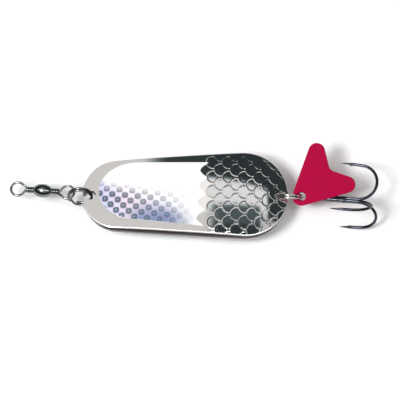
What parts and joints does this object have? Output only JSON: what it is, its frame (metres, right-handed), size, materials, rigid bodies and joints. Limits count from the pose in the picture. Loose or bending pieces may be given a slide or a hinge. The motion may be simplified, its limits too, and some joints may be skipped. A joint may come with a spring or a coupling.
{
  "type": "spoon lure",
  "caption": "Twin-blade metal spoon lure with embossed scales, a barrel swivel, split rings, a treble hook and a red plastic tail tag.",
  "frame": {"origin": "centre of the line eye, where the line is tied", "axes": "+X towards the treble, +Y across the blades, +Z out of the front blade's face"},
  "size_m": [0.1346, 0.0339, 0.0255],
  "materials": {
    "plated_blade": "polished nickel plate",
    "printed_foil": "holographic print fading to white",
    "ring_nickel": "bright nickel plate",
    "black_nickel": "black nickel plate",
    "red_plastic": "satin"
  },
  "bodies": {
    "front_blade": {"front_blade": "plated_blade", "front_foil": "printed_foil"},
    "rear_blade": {"rear_blade": "plated_blade", "rear_foil": "printed_foil"},
    "front_ring": {"front_split_ring": "black_nickel"},
    "rear_ring": {"rear_split_ring": "ring_nickel"},
    "swivel_rear": {"swivel_rear_eye": "black_nickel"},
    "barrel": {"swivel_barrel": "black_nickel"},
    "swivel_front": {"swivel_front_eye": "black_nickel"},
    "treble": {"treble_double_wire": "black_nickel", "treble_single_wire": "black_nickel", "treble_braze": "black_nickel"},
    "tag": {"tail_tag": "red_plastic"}
  },
  "joints": [
    {"name": "front_ring_yaw", "type": "hinge", "parent": "front_blade", "child": "front_ring", "pos_m": [0.0268, -0.00313, 0.001], "axis": [0, 0, 1], "range_deg": [-40, 40]},
    {"name": "swivel_slide_round_ring", "type": "hinge", "parent": "front_ring", "child": "swivel_rear", "pos_m": [0.0228, -0.00313, 0.001], "axis": [0, -0.9397, 0.342], "range_deg": [-60, 40]},
    {"name": "barrel_spin", "type": "hinge", "parent": "swivel_rear", "child": "barrel", "pos_m": [0.00913, -0.00097, 0.00106], "axis": [0.9877, -0.1055, 0.1152], "continuous": true},
    {"name": "line_eye_spin", "type": "hinge", "parent": "barrel", "child": "swivel_front", "pos_m": [0.00913, -0.00097, 0.00106], "axis": [0.9877, -0.1055, 0.1152], "continuous": true},
    {"name": "blade_rattle", "type": "hinge", "parent": "front_blade", "child": "rear_blade", "pos_m": [0.0268, -0.00313, 0.001], "axis": [0, 1, 0], "range_deg": [-0.3, 0.4]},
    {"name": "rear_ring_yaw", "type": "hinge", "parent": "front_blade", "child": "rear_ring", "pos_m": [0.0954, -0.00313, 0.001], "axis": [0, 0, -1], "range_deg": [-28, 28]},
    {"name": "treble_slide_round_ring", "type": "hinge", "parent": "rear_ring", "child": "treble", "pos_m": [0.0994, -0.00313, 0.001], "axis": [0, -0.9563, -0.2924], "range_deg": [-45, 28]},
    {"name": "tag_swing", "type": "hinge", "parent": "treble", "child": "tag", "pos_m": [0.10376, -0.00335, 0.00171], "axis": [-0.2079, -0.286, 0.9354], "range_deg": [-80, 35]}
  ]
}
